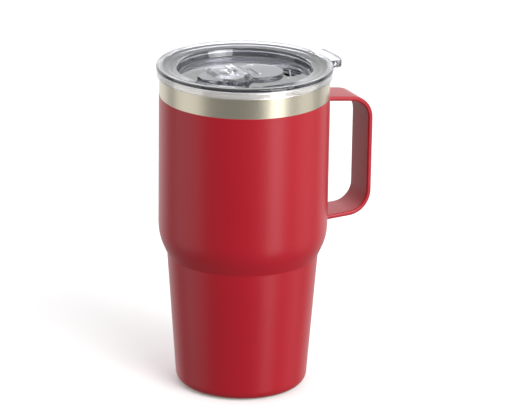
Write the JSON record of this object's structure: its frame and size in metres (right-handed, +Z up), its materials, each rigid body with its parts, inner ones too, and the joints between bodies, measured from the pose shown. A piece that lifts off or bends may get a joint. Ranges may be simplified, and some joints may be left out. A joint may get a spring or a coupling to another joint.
{
  "type": "insulated travel mug",
  "caption": "Double-walled steel travel mug with a stepped powder-coated body, a bent strap handle and a clear press-in lid with a sliding closure.",
  "frame": {"origin": "centre of the base, on the surface the mug stands on", "axes": "+Z up along the mug's axis, +X towards the handle, the lid's tab and the drink opening"},
  "size_m": [0.1237, 0.0978, 0.1852],
  "materials": {
    "shell_steel": "brushed round the body",
    "liner_steel": "electropolished, satin",
    "pressing_steel": "plain rolled sheet",
    "coat": "red polyester powder coat, fine satin texture",
    "painted_strap": "red polyester powder coat, fine satin texture",
    "clear_plastic": "clear, polished moulding",
    "silicone": "translucent silicone",
    "sealing_glass": "fused glass bead",
    "getter_pellet": "pressed metal powder"
  },
  "bodies": {
    "mug": {"outer_shell": "shell_steel", "powder_coat": "coat", "inner_liner": "liner_steel", "liner_bottom": "liner_steel", "outer_bottom": "pressing_steel", "vacuum_seal": "sealing_glass", "getter": "getter_pellet", "getter_clip": "pressing_steel", "base_cover": "pressing_steel", "handle_strap": "painted_strap"},
    "lid": {"lid_body": "clear_plastic", "lid_gasket": "silicone"},
    "closure": {"slider": "clear_plastic", "slider_retainer": "clear_plastic"}
  },
  "joints": [
    {"name": "lid_lift", "type": "slide", "parent": "mug", "child": "lid", "axis": [0, 0, 1], "range_m": [0, 0.04]},
    {"name": "slider_slide", "type": "slide", "parent": "lid", "child": "closure", "axis": [1, 0, 0], "range_m": [0, 0.0137]}
  ]
}
